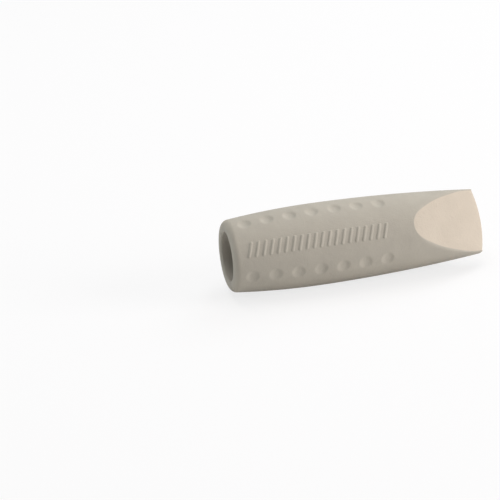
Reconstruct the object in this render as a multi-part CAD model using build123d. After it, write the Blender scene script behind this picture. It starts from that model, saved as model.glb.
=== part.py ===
from build123d import *
import math
import os

# Driving dimensions, in millimetres and degrees.
# The topper is turned about X, with the mouth of its socket at x = 0 and its chisel edge at x = LENGTH.
LENGTH = 37.75
MOUTH_DIAMETER = 10.15
BELLY_DIAMETER = 11.7
BELLY_AT = 13.25
NOSE_DIAMETER = 9.2
RIM_ROUNDING = 0.9
RIM_LAND = 0.3

# Blind socket that is pressed over the end of a stick.
SOCKET_DIAMETER = 7.0
SOCKET_DEPTH = 16.0
SOCKET_LEAD = 0.35
SOCKET_FLOOR_CHAMFER = 0.6
SOCKET_FLOOR = 1.6

# Chisel end: two flats that meet in a crowned edge.
FLAT_ANGLE = 23.0
EDGE_THICKNESS = 1.2
EDGE_ROUNDING = 0.2
EDGE_CROWN_RADIUS = 15.0

# Grip dimples: straight rows along the barrel, two beside each flat.
DIMPLE_DIAMETER = 2.0
DIMPLE_DEPTH = 0.18
DIMPLES_IN_ROW = 7
FIRST_DIMPLE_AT = 2.45
DIMPLE_PITCH = 3.26
ROW_ANGLES = (45, 135, 225, 315)

# Eraser core: a tongue in the sleeve's fork, and a tang with a collar that locks it in.
HORN_LIP = 0.22
TONGUE_ROOT_RADIUS = 2.5
TANG_DIAMETER = 5.0
TANG_CHAMFER = 0.5
TANG_INTO_TONGUE = 4.0
COLLAR_DIAMETER = 6.6
COLLAR_WIDTH = 2.0
COLLAR_SETBACK = 1.5

# At rest the front flat looks up at this angle to the table, and the cutters reach past the skin by MARGIN.
FRONT_ELEVATION = 30.0
MARGIN = 1.0

REACH = BELLY_DIAMETER / 2 + MARGIN
TANG_START = SOCKET_DEPTH + SOCKET_FLOOR


def skin_radius(x):
    """Radius of the barrel at x: two arcs that meet level at the belly."""
    belly = BELLY_DIAMETER / 2
    if x < BELLY_AT:
        run, drop = BELLY_AT, belly - MOUTH_DIAMETER / 2
    else:
        run, drop = LENGTH - BELLY_AT, belly - NOSE_DIAMETER / 2
    arc = (run**2 + drop**2) / (2 * drop)
    return belly - arc + math.sqrt(arc**2 - (x - BELLY_AT) ** 2)


def skin_stations():
    """Stations along the skin: the mouth, half-way between the rings of dimples, and past the edge."""
    first = FIRST_DIMPLE_AT + DIMPLE_PITCH / 2
    count = int((LENGTH - first) / DIMPLE_PITCH) + 1
    return [0, *(first + number * DIMPLE_PITCH for number in range(count)), LENGTH + MARGIN]


def barrel():
    """Turned blank: the skin in bands, one to a ring of dimples, and a rim with a rounded corner.

    The bands are straight, which keeps their facets few, and stay within 0.02 mm of the arcs.
    """
    skin = [(x, skin_radius(x)) for x in skin_stations()]
    outline = make_face(Polyline(*skin, (skin[-1][0], 0), (0, 0), close=True))
    corner = outline.vertices().sort_by_distance(skin[0])[0]
    wall = (MOUTH_DIAMETER - SOCKET_DIAMETER) / 2
    outline = fillet(corner, min(RIM_ROUNDING, wall - SOCKET_LEAD - RIM_LAND))
    return revolve(outline, Axis.X)


def side_of_chisel():
    """Everything between the two flats, seen from the side, with the edge's corners rounded."""
    half_edge = EDGE_THICKNESS / 2
    shoulder = LENGTH - (REACH - half_edge) / math.tan(math.radians(FLAT_ANGLE))
    upper = [(-MARGIN, REACH), (shoulder, REACH), (LENGTH, half_edge)]
    lower = [(x, -z) for x, z in reversed(upper)]
    outline = make_face(Polyline(*upper, *lower, close=True))
    corners = outline.vertices().group_by(Axis.X)[-1]
    outline = fillet(corners, EDGE_ROUNDING)
    return extrude(Plane.XZ * outline, REACH, both=True)


def crown_of_edge():
    """Everything behind the crowned edge, seen on the flat."""
    sag = EDGE_CROWN_RADIUS - math.sqrt(EDGE_CROWN_RADIUS**2 - REACH**2)
    left, right = (LENGTH - sag, REACH), (LENGTH - sag, -REACH)
    crown = ThreePointArc(left, (LENGTH, 0), right)
    back = Polyline(right, (-MARGIN, -REACH), (-MARGIN, REACH), left)
    return extrude(make_face(Curve() + [crown, back]), REACH, both=True)


def tongue_window(body):
    """Arched window through both flats, a lip inside the outline of the flat, and its root's place.

    Two side arcs start level at the edge and run into the smaller arc of the root.
    """
    flat = body.faces().filter_by(GeomType.PLANE).sort_by(Axis.Z)[-1]
    box = flat.bounding_box()
    root = box.min.X + HORN_LIP
    across = box.size.Y / 2 - HORN_LIP
    run = LENGTH - root - TONGUE_ROOT_RADIUS
    side = (run**2 + across**2 - TONGUE_ROOT_RADIUS**2) / (2 * (across - TONGUE_ROOT_RADIUS))
    share = TONGUE_ROOT_RADIUS / (side - TONGUE_ROOT_RADIUS)
    join = (LENGTH - run * (1 + share), (side - across) * share)
    outline = []
    for hand in (1, -1):
        outline.append(TangentArc((LENGTH, hand * across), (join[0], hand * join[1]), tangent=(-1, 0)))
    outline.append(ThreePointArc(join, (root, 0), (join[0], -join[1])))
    open_end = [(LENGTH, across), (LENGTH + MARGIN, across), (LENGTH + MARGIN, -across), (LENGTH, -across)]
    outline.append(Polyline(*open_end))
    return extrude(make_face(Curve() + outline), REACH, both=True), root


def tang(tongue_root):
    """Round tang with its collar, from its pocket behind the socket into the tongue."""
    length = tongue_root + TANG_INTO_TONGUE - TANG_START
    stem = Pos(TANG_START, 0) * Rectangle(length, TANG_DIAMETER / 2, align=Align.MIN)
    end = stem.vertices().sort_by_distance((TANG_START, TANG_DIAMETER / 2))[0]
    stem = chamfer(end, TANG_CHAMFER)
    collar = Rectangle(COLLAR_WIDTH, COLLAR_DIAMETER / 2, align=Align.MIN)
    return revolve(stem + Pos(TANG_START + COLLAR_SETBACK, 0) * collar, Axis.X)


def socket():
    """Blind bore with a chamfered lead-in at the mouth and a chamfered floor."""
    radius = SOCKET_DIAMETER / 2
    bore = Rectangle(SOCKET_DEPTH, radius, align=Align.MIN)
    floor = bore.vertices().sort_by_distance((SOCKET_DEPTH, radius))[0]
    bore = chamfer(floor, SOCKET_FLOOR_CHAMFER)
    lead = [(0, 0), (0, radius + SOCKET_LEAD), (SOCKET_LEAD, radius), (SOCKET_LEAD, 0)]
    bore += make_face(Polyline(*lead, close=True))
    return revolve(bore, Axis.X)


def dimples():
    """Ball-shaped cutters, with their poles along the barrel, that leave shallow dimples in the skin."""
    rim = DIMPLE_DIAMETER / 2
    ball = (rim**2 + DIMPLE_DEPTH**2) / (2 * DIMPLE_DEPTH)
    cutters = []
    for angle in ROW_ANGLES:
        for number in range(DIMPLES_IN_ROW):
            x = FIRST_DIMPLE_AT + number * DIMPLE_PITCH
            out = skin_radius(x) + ball - DIMPLE_DEPTH
            cutters.append(Rot(angle, 0, 0) * Pos(x, 0, out) * Rot(0, 90, 0) * Sphere(ball))
    return cutters


def at_rest(shape):
    """Turn a piece from its flats-level pose to the pose at rest."""
    return Rot(90 - FRONT_ELEVATION, 0, 0) * shape


body = barrel() & (side_of_chisel() & crown_of_edge())
window, tongue_root = tongue_window(body)
eraser_core = (body & window) + tang(tongue_root)
grip_sleeve = body - eraser_core - socket() - dimples()

os.makedirs("parts", exist_ok=True)
export_step(at_rest(grip_sleeve), "parts/grip_sleeve.step")
export_step(at_rest(eraser_core), "parts/eraser_core.step")
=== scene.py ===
import math

import bmesh
import bpy
import numpy as np
from mathutils import Matrix, Vector


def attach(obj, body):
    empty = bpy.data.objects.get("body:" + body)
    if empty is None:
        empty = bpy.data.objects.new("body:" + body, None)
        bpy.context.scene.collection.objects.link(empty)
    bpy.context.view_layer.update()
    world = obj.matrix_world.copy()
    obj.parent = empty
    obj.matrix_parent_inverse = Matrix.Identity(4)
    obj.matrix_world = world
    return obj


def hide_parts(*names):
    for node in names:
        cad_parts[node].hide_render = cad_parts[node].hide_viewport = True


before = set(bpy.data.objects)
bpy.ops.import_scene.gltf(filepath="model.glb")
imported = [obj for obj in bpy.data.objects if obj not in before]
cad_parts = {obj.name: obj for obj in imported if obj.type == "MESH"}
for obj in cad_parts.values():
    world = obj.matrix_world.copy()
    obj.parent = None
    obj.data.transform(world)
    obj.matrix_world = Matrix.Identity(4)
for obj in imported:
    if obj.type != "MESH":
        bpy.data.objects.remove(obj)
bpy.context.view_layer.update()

# A millimetre in metres, and the distance in millimetres within which two points are one.
MM = 0.001
SAME_POINT = 0.0001

# Driving dimensions of the part, in millimetres and degrees, with the values of its source.
LENGTH = 37.75
MOUTH_DIAMETER = 10.15
BELLY_DIAMETER = 11.7
BELLY_AT = 13.25
NOSE_DIAMETER = 9.2
RIM_ROUNDING = 0.9
SOCKET_DIAMETER = 7.0
SOCKET_DEPTH = 16.0
SOCKET_LEAD = 0.35
SOCKET_FLOOR_ROUNDING = 0.6
SOCKET_FLOOR = 1.6
FLAT_ANGLE = 23.0
EDGE_THICKNESS = 1.2
EDGE_ROUNDING = 0.2
EDGE_CROWN_RADIUS = 15.0
DIMPLE_DEPTH = 0.18
DIMPLES_IN_ROW = 7
FIRST_DIMPLE_AT = 2.45
DIMPLE_PITCH = 3.26
ROW_ANGLES = (45, 135, 225, 315)
TANG_DIAMETER = 5.0
TANG_CHAMFER = 0.5
TANG_INTO_TONGUE = 4.0
COLLAR_DIAMETER = 6.6
COLLAR_WIDTH = 2.0
COLLAR_SETBACK = 1.5
FRONT_ELEVATION = 30.0

# Turn about the barrel's axis, in radians, from a front flat that looks up to the pose at rest.
REST_TURN = math.radians(90 - FRONT_ELEVATION)

# Finer form of the visible surface, in millimetres.
# The lip beside the eraser widens from a flat's root to its sides and narrows again towards the edge,
# each between two angles in degrees from the flat's middle.
# The lip's rounding tapers to that of the corners between two distances from the edge.
DIMPLE_MOUTH = 2.1
ROOT_LIP = 0.04
SIDE_LIP = 0.3
EDGE_LIP = 0.14
LIP_WIDENS = (12.0, 36.0)
LIP_NARROWS = (54.0, 72.0)
LIP_ROUNDING = 0.38
LIP_ROUNDED_SHARE = 0.7
CORNER_ROUNDING = 0.15
ROUNDING_TAPERS = (4.0, 1.0)
PARTING_HEIGHT = 0.02
PARTING_WIDTH = 0.12

# Slanted ribs in low relief along the middle of the front, in millimetres and degrees.
RIB_COUNT = 20
FIRST_RIB_AT = 2.35
RIB_PITCH = 1.03
RIB_SLANT = 18.0
RIB_HALF_LENGTH = 0.95
RIB_HALF_WIDTH = 0.16
RIB_SOFTNESS = 0.16
RIB_RELIEF = 0.12
RIB_BAND_ANGLE = -2.0

# Columns and rows of the meshes.
# The columns are closer together in a band over the ribs, and the rows of the tip start past the dimples.
FLAT_COLUMNS = 128
BAND_COLUMNS = 40
BAND_HALF_ANGLE = 13.0
SIDE_COLUMNS = 24
LEVEL_COLUMNS = 5
SKIN_ROWS = 200
TIP_STARTS_AT = 24.5
TIP_ROWS = 28
TIP_CROWDING = 1.6
ARC_STEPS = 8
EDGE_STEPS = 5
WALL_ROWS = 15
FLOOR_ROWS = 4
FLAT_ROWS = 40
LAND_ROWS = 6
TANG_COLUMNS = 64
SEARCH_STEPS = 50
SMOOTH_UNDER = math.radians(35)

# Looks of the rubbers. Colours are linear red, green and blue, and a tint has its largest share.
# A noise is cycles to a metre, detail and roughness, and a grain is cycles, detail and a height in metres.
NOISE_SPAN = (0.3, 0.7)
SLEEVE_SHADES = ((0.388, 0.353, 0.306), (0.424, 0.386, 0.334))
SLEEVE_CLOUDS = (240, 6.0, 0.65)
RECESS_TINT = (0.456, 0.418, 0.366)
RECESS_SHARE = 0.2
RIM_TINT = (0.447, 0.4, 0.338)
RIM_SHARE = 0.5
SLEEVE_ROUGHNESS = (0.74, 0.88)
SLEEVE_PATCHES = (900, 4.0, 0.5)
SLEEVE_SPECULAR = 0.35
SLEEVE_GRAINS = ((1500, 3.0, 0.000032), (6000, 2.0, 0.000018))
# The eraser's cream is partly its own colour and partly painted warm light: it is set paler and warmer than
# the sleeve to stand in for the light from the right on the flats.
ERASER_SHADES = ((0.485, 0.418, 0.349), (0.535, 0.462, 0.387))
ERASER_CLOUDS = (300, 6.0, 0.68)
EDGE_TINT = (0.57, 0.49, 0.41)
EDGE_SHARE = 0.5
EDGE_RUB_LENGTH = 2.5
MARGIN_TINT = (0.455, 0.395, 0.335)
MARGIN_SHARE = 0.45
MARGIN_DEPTH = 0.15
ERASER_ROUGHNESS = (0.66, 0.8)
ERASER_PATCHES = (1200, 4.0, 0.5)
ERASER_SPECULAR = 0.3
ERASER_GRAINS = ((1100, 3.0, 0.000045), (5000, 2.0, 0.00003))

# Sockets of a mix of two colours, whose names aren't unique: first colour, second colour and result.
MIX_FIRST = 6
MIX_SECOND = 7
MIX_RESULT = 2

# Light of the studio, at a level where a colour renders about as it is written.
# The floor lights the object by its colour, and the camera sees it darker, with a glow that makes it pale.
AMBIENT_COLOUR = (0.97, 0.985, 1.0, 1)
AMBIENT_STRENGTH = 0.2
WHITE = (1, 1, 1, 1)
FLOOR_HALF_SIZE = 3.0
FLOOR_COLOUR = (0.88, 0.88, 0.87, 1)
FLOOR_SHADED = (0.186, 0.18, 0.183, 1)
FLOOR_GLOW = 0.767

# Lamps: name, place and width in metres, watts and colour.
LAMPS = (
    ("side_lamp", (0.44, -0.2, 0.14), 0.25, 1.97, (1.0, 0.98, 0.96)),
    ("top_lamp", (0.02, 0.05, 0.5), 0.4, 1.6, (1.0, 0.98, 0.93)),
    ("rear_lamp", (0.3, 0.3, 0.35), 0.3, 1.0, (0.88, 0.96, 1.0)),
    ("mouth_lamp", (-0.45, 0.1, 0.3), 0.2, 0.45, (0.7, 0.9, 1.0)),
)

# Camera of the photograph, for an image of 500 by 500 pixels, in millimetres and degrees.
# It stands off a place on the barrel's axis, which shows at a pixel of the image.
FRAME_PIXELS = 500
FOCAL_PIXELS = 2137.4
CAMERA_YAW = 16.755
CAMERA_ELEVATION = 22.005
CAMERA_ROLL = -1.727
CAMERA_DISTANCE = 304.5
SEEN_PLACE = (18.25, 0.0, 0.0)
SEEN_PIXEL = (350.449, 239.022)
SENSOR_WIDTH = 36.0
NEAREST_SEEN = 10.0
FARTHEST_SEEN = 20000.0


def skin_radius(x):
    """Radius of the barrel at x: two arcs that meet level at the belly."""
    x = np.asarray(x, float)
    belly = BELLY_DIAMETER / 2
    run = np.where(x < BELLY_AT, BELLY_AT, LENGTH - BELLY_AT)
    drop = belly - np.where(x < BELLY_AT, MOUTH_DIAMETER, NOSE_DIAMETER) / 2
    bend = (run**2 + drop**2) / (2 * drop)
    return belly - bend + np.sqrt(bend**2 - (x - BELLY_AT) ** 2)


def flat_height(x):
    """Distance of a flat from the middle plane at x."""
    return EDGE_THICKNESS / 2 + (LENGTH - x) * math.tan(math.radians(FLAT_ANGLE))


def crown_x(y):
    """Place of the crowned edge at a distance y from its middle."""
    return LENGTH - EDGE_CROWN_RADIUS + np.sqrt(EDGE_CROWN_RADIUS**2 - y**2)


def corner_angle():
    """Angle from a flat's middle at which the skin, the flat and the crowned edge meet."""
    x = LENGTH
    for _ in range(SEARCH_STEPS):
        angle = math.acos(flat_height(x) / skin_radius(x))
        x = crown_x(skin_radius(x) * math.sin(angle))
    return angle


def flat_angles():
    """Angles of the columns across a flat, from corner to corner, closer together at the ribs."""
    corner = corner_angle()
    band = math.radians(BAND_HALF_ANGLE)
    beside = (FLAT_COLUMNS - BAND_COLUMNS) / 2
    counts = (0, beside, beside + BAND_COLUMNS, FLAT_COLUMNS)
    return np.interp(np.arange(FLAT_COLUMNS + 1), counts, (-corner, -band, band, corner))


def column_angles():
    """Angles of the sleeve's columns: front flat, one side, rear flat, other side."""
    flat = flat_angles()
    side = np.linspace(flat[-1], math.pi - flat[-1], SIDE_COLUMNS, endpoint=False)
    return np.concatenate([flat[:-1], side, flat[:-1] + math.pi, side + math.pi])


def skin_end(angles):
    """Place along X where the skin at each angle ends, on a flat or on the crowned edge."""
    near = np.full(angles.shape, BELLY_AT)
    far = np.full(angles.shape, LENGTH)
    for _ in range(SEARCH_STEPS):
        middle = (near + far) / 2
        radius = skin_radius(middle)
        past_flat = radius * abs(np.cos(angles)) > flat_height(middle)
        past_crown = middle > crown_x(radius * np.sin(angles))
        past = past_flat | past_crown
        near = np.where(past, near, middle)
        far = np.where(past, middle, far)
    return near


def turned(x, radius, angles):
    """Points at a radius and an angle about X, where the front flat looks along Z."""
    x = np.broadcast_to(x, angles.shape)
    return np.stack([x, radius * np.sin(angles), radius * np.cos(angles)], axis=-1)


def eased(value, start, end):
    """Share of the way from a start to an end, from 0 to 1, that sets off and arrives level."""
    share = np.clip((value - start) / (end - start), 0, 1)
    return share**2 * (3 - 2 * share)


def half_turn(angles):
    """Angles brought between minus and plus half a turn."""
    return np.remainder(angles + math.pi, 2 * math.pi) - math.pi


def dimple_share(x, angles):
    """How deep the dimples are at points of the skin, from 0 to 1: soft-edged bowls."""
    share = np.zeros(np.broadcast(x, angles).shape)
    for row in ROW_ANGLES:
        across = half_turn(angles - math.radians(row)) * skin_radius(x)
        for number in range(DIMPLES_IN_ROW):
            along = x - FIRST_DIMPLE_AT - number * DIMPLE_PITCH
            reach = np.hypot(along, across) / (DIMPLE_MOUTH / 2)
            share = np.maximum(share, np.clip(1 - reach**3, 0, 1) ** 2)
    return share


def rib_share(x, angles):
    """How proud the ribs are at points of the skin, from 0 to 1: soft-edged slanted bars."""
    across = half_turn(angles - math.radians(RIB_BAND_ANGLE)) * skin_radius(x)
    lean = math.sin(math.radians(RIB_SLANT))
    rise = math.cos(math.radians(RIB_SLANT))
    share = np.zeros(across.shape)
    for number in range(RIB_COUNT):
        along = x - FIRST_RIB_AT - number * RIB_PITCH
        place = np.clip(along * lean + across * rise, -RIB_HALF_LENGTH, RIB_HALF_LENGTH)
        off = np.hypot(along - place * lean, across - place * rise) - RIB_HALF_WIDTH
        share = np.maximum(share, eased(off, RIB_SOFTNESS / 2, -RIB_SOFTNESS / 2))
    return share


def parting_share(angles):
    """How proud the mould's parting line is at each angle, from 0 to 1."""
    off_side = np.cos(angles) * BELLY_DIAMETER / 2
    return np.exp(-((off_side / PARTING_WIDTH) ** 2))


def skin_point(x, angles):
    """Points of the finished skin, with its dimples, its ribs and its parting line."""
    radius = skin_radius(x) - DIMPLE_DEPTH * dimple_share(x, angles)
    radius += RIB_RELIEF * rib_share(x, angles) + PARTING_HEIGHT * parting_share(angles)
    return turned(x, radius, angles)


def arc(centre, radius, start, end):
    """Points of an arc in a profile of x and radius, from a start to an end angle in degrees."""
    turn = np.radians(np.linspace(start, end, ARC_STEPS + 1))
    return [(centre[0] + radius * math.cos(a), centre[1] + radius * math.sin(a)) for a in turn]


def socket_and_rim():
    """Profile from the middle of the socket's floor out to the end of the rim's rounding."""
    bore = SOCKET_DIAMETER / 2
    floor_edge = bore - SOCKET_FLOOR_ROUNDING
    corner = (SOCKET_DEPTH - SOCKET_FLOOR_ROUNDING, floor_edge)
    profile = [(SOCKET_DEPTH, floor_edge * (row + 1) / FLOOR_ROWS) for row in range(FLOOR_ROWS - 1)]
    profile += arc(corner, SOCKET_FLOOR_ROUNDING, 0, 90)
    wall = np.linspace(corner[0], SOCKET_LEAD, WALL_ROWS + 1)
    profile += [(x, bore) for x in wall[1:-1]]
    profile += arc((SOCKET_LEAD, bore + SOCKET_LEAD), SOCKET_LEAD, 270, 180)
    slope = (skin_radius(RIM_ROUNDING) - skin_radius(0)) / RIM_ROUNDING
    rise = slope * RIM_ROUNDING - RIM_ROUNDING * math.hypot(1, slope)
    centre = (RIM_ROUNDING, MOUTH_DIAMETER / 2 + rise)
    profile += arc(centre, RIM_ROUNDING, 180, 90 + math.degrees(math.atan(slope)))
    return profile


def tongue_outline():
    """Outline of the eraser's tongue on a flat, from one end of the edge round to the other.

    It runs a lip inside the outline of the flat, and goes straight on to the edge at both ends.
    """
    angles = flat_angles()
    x = skin_end(angles)
    edge = np.stack([x, skin_radius(x) * np.sin(angles)], axis=-1)
    along = np.gradient(edge, axis=0)
    along /= np.linalg.norm(along, axis=1, keepdims=True)
    off_middle = np.degrees(abs(angles))
    lip = ROOT_LIP + (SIDE_LIP - ROOT_LIP) * eased(off_middle, *LIP_WIDENS)
    lip += (EDGE_LIP - SIDE_LIP) * eased(off_middle, *LIP_NARROWS)
    inner = edge + lip[:, None] * np.stack([along[:, 1], -along[:, 0]], axis=-1)
    for straight in (slice(LEVEL_COLUMNS, None, -1), slice(-1 - LEVEL_COLUMNS, None)):
        start_x, level = inner[straight][0]
        inner[straight, 0] = np.linspace(start_x, crown_x(level), LEVEL_COLUMNS + 1)
        inner[straight, 1] = level
    return inner


def tongue_ring():
    """The tongue's outline on both flats and at both ends of the edge, one point to a column."""
    outline = tongue_outline()
    front = np.column_stack([outline, flat_height(outline[:, 0])])
    rear = front[::-1] * (1, 1, -1)
    levels = np.linspace(1, -1, SIDE_COLUMNS + 1)[:-1]
    side = [front[-1] * (1, 1, level) for level in levels]
    other_side = [rear[-1] * (1, 1, level) for level in levels]
    return np.concatenate([front[:-1], side, rear[:-1], other_side])


def bent(start, corner, end):
    """Rows of points that round a corner: a parabola between its two sides."""
    rows = []
    for share in np.linspace(0, 1, EDGE_STEPS + 1):
        rows.append((1 - share) ** 2 * start + 2 * share * (1 - share) * corner + share**2 * end)
    return rows


def tip_rows(angles):
    """Rows of the sleeve from the last dimples over the rounded edge to the tongue's outline."""
    end = skin_end(angles)
    edge = turned(end, skin_radius(end), angles)
    ahead = np.roll(end, -1) - np.roll(end, 1)
    round_it = half_turn(np.roll(angles, -1) - np.roll(angles, 1)) * skin_radius(end)
    step = np.hypot(ahead, round_it)
    taper = [LENGTH - distance for distance in ROUNDING_TAPERS]
    rounding = np.interp(end, taper, (LIP_ROUNDING, CORNER_ROUNDING))
    back_x = end - rounding * round_it / step
    back_angle = angles + rounding * ahead / step / skin_radius(end)
    rows = []
    for share in 1 - (1 - np.arange(1, TIP_ROWS + 1) / TIP_ROWS) ** TIP_CROWDING:
        x = TIP_STARTS_AT + share * (back_x - TIP_STARTS_AT)
        rows.append(skin_point(x, angles + share * (back_angle - angles)))
    inner = tongue_ring()
    rows += bent(rows[-1], edge, edge + (inner - edge) * LIP_ROUNDED_SHARE)[1:]
    return rows + [inner]


def quads_between(first, second, closed=True):
    """Quads between two rows of point numbers."""
    count = len(first) if closed else len(first) - 1
    quads = []
    for number in range(count):
        after = (number + 1) % len(first)
        quads.append((first[number], first[after], second[after], second[number]))
    return quads


def joined(rows):
    """Points of closed rows, the points' numbers row by row, and the quads between the rows."""
    points = [point for row in rows for point in row]
    numbers = np.arange(len(points)).reshape(len(rows), -1).tolist()
    faces = []
    for first, second in zip(numbers, numbers[1:]):
        faces += quads_between(first, second)
    return points, numbers, faces


def fork_walls(points, ring):
    """Walls of the sleeve's fork, from the front tongue outline to the rear one, as quads.

    The ring holds the numbers of the points round the outlines. New points are added to the list.
    """
    rear_start = 2 * FLAT_COLUMNS + SIDE_COLUMNS
    columns = [[ring[-level] for level in range(SIDE_COLUMNS + 1)]]
    for number in range(1, FLAT_COLUMNS):
        front = ring[number]
        rear = ring[rear_start - number]
        column = [front]
        for level in range(1, SIDE_COLUMNS):
            share = level / SIDE_COLUMNS
            column.append(len(points))
            points.append(points[front] * (1 - share) + points[rear] * share)
        columns.append(column + [rear])
    columns.append(ring[FLAT_COLUMNS : FLAT_COLUMNS + SIDE_COLUMNS + 1])
    faces = []
    for first, second in zip(columns, columns[1:]):
        faces += quads_between(first, second, closed=False)
    return faces


def sleeve_shape():
    """Points and faces of the sleeve: socket, rim, dimpled skin, rounded edge and fork."""
    angles = column_angles()
    rows = [turned(x, radius, angles) for x, radius in socket_and_rim()]
    skin_start = rows[-1][0, 0]
    for x in np.linspace(skin_start, TIP_STARTS_AT, SKIN_ROWS + 1)[1:]:
        rows.append(skin_point(np.full(angles.shape, x), angles))
    points, numbers, faces = joined(rows + tip_rows(angles))
    faces += fork_walls(points, numbers[-1])
    middle = len(points)
    points.append(np.array((SOCKET_DEPTH, 0, 0)))
    floor = numbers[0]
    for number, after in zip(floor, floor[1:] + floor[:1]):
        faces.append((number, middle, after))
    return points, faces


def tongue_loop(x, y):
    """Points round the tongue at one place across it: front flat, rounded edge, rear flat and root wall."""
    end = crown_x(y)
    slope = np.array((-1, 0, math.tan(math.radians(FLAT_ANGLE))))
    corner = np.array((end, y, flat_height(end)))
    start = corner + EDGE_ROUNDING * slope / np.linalg.norm(slope)
    land = corner - np.array((0, 0, EDGE_ROUNDING))
    front = []
    for place in np.linspace(x, start[0], FLAT_ROWS + 1)[:-1]:
        front.append(np.array((place, y, flat_height(place))))
    front += bent(start, corner, land)
    middle = [np.array((end, y, z)) for z in np.linspace(land[2], -land[2], LAND_ROWS + 1)[1:-1]]
    rear = [point * (1, 1, -1) for point in reversed(front)]
    height = flat_height(x)
    root = [np.array((x, y, z)) for z in np.linspace(-height, height, SIDE_COLUMNS + 1)[1:-1]]
    return front + middle + rear + root


def fan(first, last, line):
    """Triangles from two corner points to a line of points that runs from one's side to the other's."""
    middle = len(line) // 2
    faces = [(first, line[middle], last)]
    for number in range(len(line) - 1):
        faces.append((first if number < middle else last, line[number], line[number + 1]))
    return faces


def tongue_side(loop):
    """Faces that close one side of the tongue: strips from its front flat to its rear one."""
    count = FLAT_ROWS + EDGE_STEPS + 1
    rear_start = count + LAND_ROWS - 1
    front = loop[:count]
    rear = loop[rear_start : rear_start + count][::-1]
    land = loop[count - 1 : rear_start + 1]
    root = [front[0], *loop[: rear_start + count - 1 : -1], rear[0]]
    faces = quads_between(front[1:-1], rear[1:-1], closed=False)
    return faces + fan(front[1], rear[1], root) + fan(front[-2], rear[-2], land)


def tongue_shape():
    """Points and faces of the eraser's tongue, one loop of points to each place across it."""
    outline = tongue_outline()[LEVEL_COLUMNS : FLAT_COLUMNS + 1 - LEVEL_COLUMNS]
    points, numbers, faces = joined([tongue_loop(x, y) for x, y in outline])
    faces += tongue_side(numbers[0]) + tongue_side(numbers[-1])
    return points, faces


def tang_shape():
    """Points and faces of the round tang with its collar."""
    start = SOCKET_DEPTH + SOCKET_FLOOR
    stem = TANG_DIAMETER / 2
    collar = COLLAR_DIAMETER / 2
    collar_start = start + COLLAR_SETBACK
    collar_end = collar_start + COLLAR_WIDTH
    root = tongue_outline()[:, 0].min()
    profile = [(start, stem - TANG_CHAMFER), (start + TANG_CHAMFER, stem), (collar_start, stem)]
    profile += [(collar_start, collar), (collar_end, collar), (collar_end, stem)]
    profile += [(root + TANG_INTO_TONGUE, stem)]
    angles = np.linspace(0, 2 * math.pi, TANG_COLUMNS, endpoint=False)
    points, numbers, faces = joined([turned(x, radius, angles) for x, radius in profile])
    faces += [tuple(numbers[0]), tuple(reversed(numbers[-1]))]
    return points, faces


def clean(mesh):
    """Join the points of a closed mesh that fall together, and turn its faces to look out."""
    work = bmesh.new()
    work.from_mesh(mesh)
    bmesh.ops.remove_doubles(work, verts=work.verts, dist=SAME_POINT * MM)
    bmesh.ops.recalc_face_normals(work, faces=work.faces)
    work.to_mesh(mesh)
    work.free()


def piece_from(name, shape):
    """Object of a shape, turned to its pose at rest, with its faces looking out."""
    points, faces = shape
    turn = Matrix.Rotation(REST_TURN, 3, "X")
    mesh = bpy.data.meshes.new(name)
    mesh.from_pydata([turn @ (Vector(point) * MM) for point in points], [], faces)
    mesh.validate()
    piece = bpy.data.objects.new(name, mesh)
    bpy.context.scene.collection.objects.link(piece)
    clean(mesh)
    return piece


def combine(piece, tool, operation):
    """Cut a tool out of a piece, or join it on, and keep the result as the piece's own mesh."""
    change = piece.modifiers.new(operation, "BOOLEAN")
    change.operation = operation
    change.object = tool
    change.solver = "EXACT"
    view = bpy.context.evaluated_depsgraph_get()
    made = bpy.data.meshes.new_from_object(piece.evaluated_get(view))
    piece.modifiers.clear()
    old = piece.data
    name = old.name
    piece.data = made
    bpy.data.meshes.remove(old)
    made.name = name
    clean(made)


def own_place(mesh):
    """The mesh's points in millimetres along the barrel, across the flats and towards the front flat."""
    places = np.empty(len(mesh.vertices) * 3)
    mesh.vertices.foreach_get("co", places)
    x, y, z = places.reshape(-1, 3).T / MM
    cosine = math.cos(REST_TURN)
    sine = math.sin(REST_TURN)
    return x, cosine * y + sine * z, cosine * z - sine * y


def store(mesh, name, values):
    """Keep one number at each point of a mesh under a name."""
    mark = mesh.attributes.new(name, "FLOAT", "POINT")
    mark.data.foreach_set("value", values.astype(np.float32))


def mark_sleeve(mesh):
    """Store how deep each point of the sleeve lies in a dimple, and how near it is to the rim."""
    x, across, front = own_place(mesh)
    radius = np.hypot(across, front)
    outside = radius > skin_radius(x) - DIMPLE_DEPTH - RIM_ROUNDING
    store(mesh, "recess", dimple_share(x, np.arctan2(across, front)) * outside)
    store(mesh, "rubbed", np.exp(-((x / RIM_ROUNDING) ** 2)) * outside)


def mark_core(mesh):
    """Store how near each point of the eraser is to its crowned edge and to the outline of a flat."""
    x, across, front = own_place(mesh)
    store(mesh, "rubbed", np.exp(-np.clip(crown_x(across) - x, 0, None) / EDGE_RUB_LENGTH))
    depth = skin_radius(x) - np.hypot(across, front)
    store(mesh, "margin", np.exp(-((depth / MARGIN_DEPTH) ** 2)))


def finish_surface(piece):
    """Shade a piece smoothly, apart from its true corners."""
    piece.data.shade_smooth()
    piece.data.set_sharp_from_angle(angle=SMOOTH_UNDER)


def bare_tree(owner):
    """Node tree of a material or a world, with nothing in it."""
    owner.use_nodes = True
    owner.node_tree.nodes.clear()
    return owner.node_tree


def new_shader(name):
    """New material with a shader that is linked to its output, the material's tree and the shader."""
    material = bpy.data.materials.new(name)
    tree = bare_tree(material)
    shader = tree.nodes.new("ShaderNodeBsdfPrincipled")
    output = tree.nodes.new("ShaderNodeOutputMaterial")
    tree.links.new(shader.outputs["BSDF"], output.inputs["Surface"])
    return material, tree, shader


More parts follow.
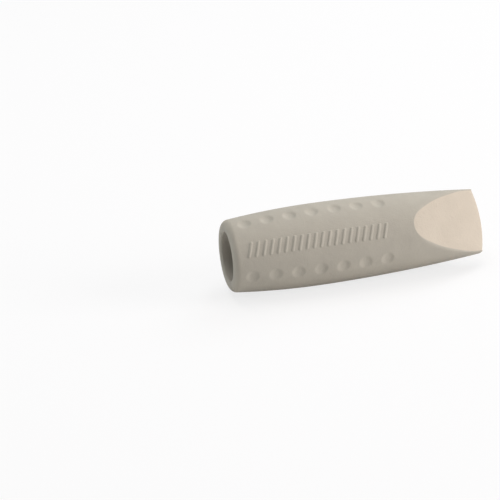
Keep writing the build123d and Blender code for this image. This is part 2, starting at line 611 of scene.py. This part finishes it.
def noise(tree, scale, detail, roughness=0.5):
    """Noise in the piece's own space, with the scale in cycles to a metre."""
    place = tree.nodes.new("ShaderNodeTexCoord")
    texture = tree.nodes.new("ShaderNodeTexNoise")
    texture.inputs["Scale"].default_value = scale
    texture.inputs["Detail"].default_value = detail
    texture.inputs["Roughness"].default_value = roughness
    tree.links.new(place.outputs["Object"], texture.inputs["Vector"])
    return texture.outputs["Fac"]


def cloudy(tree, clouds, shades):
    """Colour that drifts between a dark and a light shade with a noise."""
    node = tree.nodes.new("ShaderNodeValToRGB")
    for element, place, shade in zip(node.color_ramp.elements, NOISE_SPAN, shades):
        element.position = place
        element.color = (*shade, 1.0)
    tree.links.new(noise(tree, *clouds), node.inputs["Fac"])
    return node.outputs["Color"]


def patchy(tree, patches, low, high):
    """Value that drifts between a low and a high one with a noise."""
    node = tree.nodes.new("ShaderNodeMapRange")
    node.inputs["From Min"].default_value = NOISE_SPAN[0]
    node.inputs["From Max"].default_value = NOISE_SPAN[1]
    node.inputs["To Min"].default_value = low
    node.inputs["To Max"].default_value = high
    tree.links.new(noise(tree, *patches), node.inputs["Value"])
    return node.outputs["Result"]


def grained(tree, grains):
    """Normal of a surface with grains laid on one another, each a noise with a height in metres."""
    normal = None
    for scale, detail, height in grains:
        node = tree.nodes.new("ShaderNodeBump")
        node.inputs["Distance"].default_value = height
        tree.links.new(noise(tree, scale, detail), node.inputs["Height"])
        if normal is not None:
            tree.links.new(normal, node.inputs["Normal"])
        normal = node.outputs["Normal"]
    return normal


def tinted(tree, colour, mark, tint, most):
    """A colour mixed with a tint by a stored mark, up to a largest share."""
    source = tree.nodes.new("ShaderNodeAttribute")
    source.attribute_name = mark
    amount = tree.nodes.new("ShaderNodeMath")
    amount.operation = "MULTIPLY"
    amount.inputs[1].default_value = most
    mix = tree.nodes.new("ShaderNodeMix")
    mix.data_type = "RGBA"
    tree.links.new(source.outputs["Fac"], amount.inputs[0])
    tree.links.new(amount.outputs["Value"], mix.inputs["Factor"])
    tree.links.new(colour, mix.inputs[MIX_FIRST])
    mix.inputs[MIX_SECOND].default_value = (*tint, 1.0)
    return mix.outputs[MIX_RESULT]


def sleeve_rubber():
    """Matte warm-grey moulded rubber: faint clouds, paler dimples, a rubbed rim and a fine grain."""
    material, tree, shader = new_shader("sleeve_rubber")
    colour = cloudy(tree, SLEEVE_CLOUDS, SLEEVE_SHADES)
    colour = tinted(tree, colour, "recess", RECESS_TINT, RECESS_SHARE)
    colour = tinted(tree, colour, "rubbed", RIM_TINT, RIM_SHARE)
    tree.links.new(colour, shader.inputs["Base Color"])
    tree.links.new(patchy(tree, SLEEVE_PATCHES, *SLEEVE_ROUGHNESS), shader.inputs["Roughness"])
    shader.inputs["Specular IOR Level"].default_value = SLEEVE_SPECULAR
    tree.links.new(grained(tree, SLEEVE_GRAINS), shader.inputs["Normal"])
    return material


def eraser_rubber():
    """Matte cream eraser, its cream partly its own colour and partly painted warm light: soft clouds, a
    rubbed edge, a greyer margin round the flats and a fine grain.
    """
    material, tree, shader = new_shader("eraser_rubber")
    colour = cloudy(tree, ERASER_CLOUDS, ERASER_SHADES)
    colour = tinted(tree, colour, "rubbed", EDGE_TINT, EDGE_SHARE)
    colour = tinted(tree, colour, "margin", MARGIN_TINT, MARGIN_SHARE)
    tree.links.new(colour, shader.inputs["Base Color"])
    tree.links.new(patchy(tree, ERASER_PATCHES, *ERASER_ROUGHNESS), shader.inputs["Roughness"])
    shader.inputs["Specular IOR Level"].default_value = ERASER_SPECULAR
    tree.links.new(grained(tree, ERASER_GRAINS), shader.inputs["Normal"])
    return material


def shows_backdrop(tree):
    """One for rays from the camera, from a gloss or through glass, which see the white backdrop."""
    path = tree.nodes.new("ShaderNodeLightPath")
    total = path.outputs["Is Camera Ray"]
    for kind in ("Is Glossy Ray", "Is Transmission Ray"):
        larger = tree.nodes.new("ShaderNodeMath")
        larger.operation = "MAXIMUM"
        tree.links.new(total, larger.inputs[0])
        tree.links.new(path.outputs[kind], larger.inputs[1])
        total = larger.outputs["Value"]
    return total


def lit_or_seen(tree, lighting, seen, output):
    """Link an output to one shader for the light on the object and to another for what is seen."""
    choice = tree.nodes.new("ShaderNodeMixShader")
    tree.links.new(shows_backdrop(tree), choice.inputs["Fac"])
    tree.links.new(lighting, choice.inputs[1])
    tree.links.new(seen, choice.inputs[2])
    tree.links.new(choice.outputs["Shader"], output.inputs["Surface"])


def make_world():
    """White world to look at, and a dimmer even light on the object."""
    world = bpy.data.worlds.new("studio")
    tree = bare_tree(world)
    light = tree.nodes.new("ShaderNodeBackground")
    light.inputs["Color"].default_value = AMBIENT_COLOUR
    light.inputs["Strength"].default_value = AMBIENT_STRENGTH
    white = tree.nodes.new("ShaderNodeBackground")
    white.inputs["Color"].default_value = WHITE
    output = tree.nodes.new("ShaderNodeOutputWorld")
    lit_or_seen(tree, light.outputs["Background"], white.outputs["Background"], output)
    bpy.context.scene.world = world


def pale_floor():
    """Pale floor that looks near white and keeps the object's shadow."""
    material = bpy.data.materials.new("pale_floor")
    tree = bare_tree(material)
    plain = tree.nodes.new("ShaderNodeBsdfDiffuse")
    plain.inputs["Color"].default_value = FLOOR_COLOUR
    shaded = tree.nodes.new("ShaderNodeBsdfDiffuse")
    shaded.inputs["Color"].default_value = FLOOR_SHADED
    glow = tree.nodes.new("ShaderNodeEmission")
    glow.inputs["Strength"].default_value = FLOOR_GLOW
    seen = tree.nodes.new("ShaderNodeAddShader")
    tree.links.new(shaded.outputs["BSDF"], seen.inputs[0])
    tree.links.new(glow.outputs["Emission"], seen.inputs[1])
    output = tree.nodes.new("ShaderNodeOutputMaterial")
    lit_or_seen(tree, plain.outputs["BSDF"], seen.outputs["Shader"], output)
    return material


def make_floor():
    """Wide square floor under the barrel."""
    half = FLOOR_HALF_SIZE
    height = -BELLY_DIAMETER / 2 * MM
    mesh = bpy.data.meshes.new("floor")
    corners = [(-half, -half, height), (half, -half, height), (half, half, height), (-half, half, height)]
    mesh.from_pydata(corners, [], [(0, 1, 2, 3)])
    mesh.materials.append(pale_floor())
    floor = bpy.data.objects.new("floor", mesh)
    bpy.context.scene.collection.objects.link(floor)


def make_lamp(name, place, width, watts, colour):
    """Square soft lamp at a place in metres, turned to the middle of the object."""
    data = bpy.data.lights.new(name, "AREA")
    data.size = width
    data.energy = watts
    data.color = colour
    lamp = bpy.data.objects.new(name, data)
    lamp.location = place
    aim = Vector((LENGTH / 2 * MM, 0, 0)) - Vector(place)
    lamp.rotation_euler = aim.to_track_quat("-Z", "Y").to_euler()
    bpy.context.scene.collection.objects.link(lamp)


def make_camera():
    """Camera at the photograph's place, panned until the seen place falls on its pixel."""
    data = bpy.data.cameras.new("camera")
    data.sensor_width = SENSOR_WIDTH
    data.lens = FOCAL_PIXELS / FRAME_PIXELS * SENSOR_WIDTH
    data.clip_start = NEAREST_SEEN * MM
    data.clip_end = FARTHEST_SEEN * MM
    yaw = math.radians(CAMERA_YAW)
    rise = math.radians(CAMERA_ELEVATION)
    roll = math.radians(CAMERA_ROLL)
    back = Vector((-math.sin(yaw) * math.cos(rise), -math.cos(yaw) * math.cos(rise), math.sin(rise)))
    right = Vector((0, 0, 1)).cross(back).normalized()
    up = back.cross(right)
    rolled_right = math.cos(roll) * right + math.sin(roll) * up
    rolled_up = math.cos(roll) * up - math.sin(roll) * right
    straight = Matrix((rolled_right, rolled_up, back)).transposed()
    half = FRAME_PIXELS / 2
    seen = Vector((SEEN_PIXEL[0] - half, half - SEEN_PIXEL[1], -FOCAL_PIXELS)).normalized()
    pan = seen.rotation_difference(Vector((0, 0, -1))).to_matrix()
    camera = bpy.data.objects.new("camera", data)
    camera.matrix_world = (straight @ pan).to_4x4()
    camera.location = (Vector(SEEN_PLACE) + back * CAMERA_DISTANCE) * MM
    bpy.context.scene.collection.objects.link(camera)
    bpy.context.scene.camera = camera


sleeve = piece_from("grip_sleeve_moulding", sleeve_shape())
core = piece_from("eraser_core_moulding", tongue_shape())
tang = piece_from("tang_tool", tang_shape())
combine(sleeve, tang, "DIFFERENCE")
combine(core, tang, "UNION")
bpy.data.objects.remove(tang)

mark_sleeve(sleeve.data)
mark_core(core.data)

for piece, node, slot, material in (
    (sleeve, "grip_sleeve", "sleeve_rubber", sleeve_rubber()),
    (core, "eraser_core", "eraser_rubber", eraser_rubber()),
):
    finish_surface(piece)
    piece.data.materials.clear()
    piece.data.materials.append(material)
    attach(piece, "root")
    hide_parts(node)

make_world()
make_floor()
for lamp in LAMPS:
    make_lamp(*lamp)
make_camera()
bpy.context.scene.view_settings.view_transform = "Standard"
